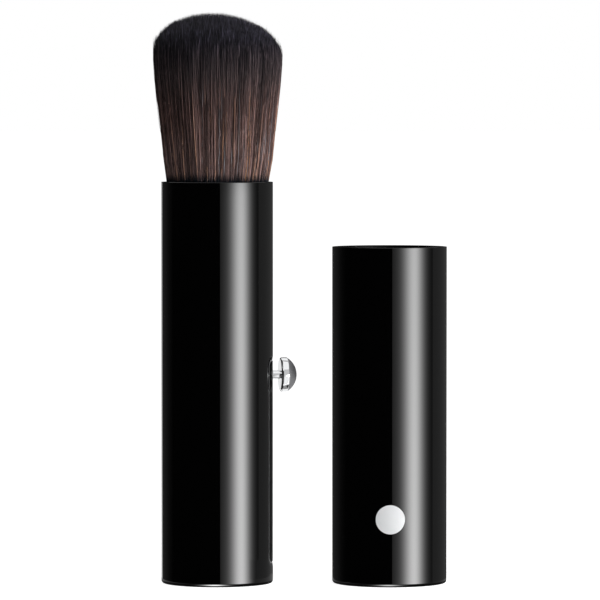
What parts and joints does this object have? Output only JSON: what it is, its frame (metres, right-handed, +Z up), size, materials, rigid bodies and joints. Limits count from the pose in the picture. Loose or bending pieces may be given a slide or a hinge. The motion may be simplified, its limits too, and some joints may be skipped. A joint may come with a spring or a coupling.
{
  "type": "powder brush",
  "caption": "Slim round powder brush whose hair draws into its tube by a side knob, with its loose tubular cap standing beside it.",
  "frame": {"origin": "centre of the flat foot of the tube, on the surface that it stands on", "axes": "+Z up the tube to the hair, +X to the side of the cap and, within a few degrees, of the knob; the picture looks along +Y"},
  "size_m": [0.0631, 0.0249, 0.1227],
  "materials": {
    "gloss_black_shell": "gloss black lacquer on drawn aluminium",
    "black_moulding": "satin black moulding",
    "steel_weight": "plain turned steel",
    "carriage_moulding": "low-friction black moulding",
    "spring_steel": "stainless strip",
    "insert_brass": "turned brass",
    "knob_chrome": "bright polish",
    "bush_moulding": "natural grey moulding",
    "dome_chrome": "dark bright polish",
    "ferrule_aluminium": "satin",
    "root_resin": "cast resin",
    "brush_hair": "soft hair, brown with blue-black tips",
    "pad_moulding": "soft black moulding"
  },
  "bodies": {
    "handle": {"body_shell": "gloss_black_shell", "slot_bezel": "black_moulding", "guide_sleeve": "black_moulding", "base_weight": "steel_weight"},
    "carriage": {"slider": "carriage_moulding", "detent_spring": "spring_steel", "threaded_insert": "insert_brass", "knob_stem": "knob_chrome", "stem_bush": "bush_moulding", "knob_cup": "knob_chrome", "knob_dome": "dome_chrome", "ferrule": "ferrule_aluminium", "hair_plug": "root_resin", "bristles": "brush_hair"},
    "cap": {"cap_shell": "gloss_black_shell", "cap_pad": "pad_moulding"}
  },
  "joints": [
    {"name": "brush_slide", "type": "slide", "parent": "handle", "child": "carriage", "axis": [0, 0, 1], "range_m": [-0.0369, 0], "deforming": ["bristles"]},
    {"name": "cap_lift", "type": "slide", "parent": "handle", "child": "cap", "axis": [0, 0, 1], "range_m": [0, 0.09]}
  ]
}
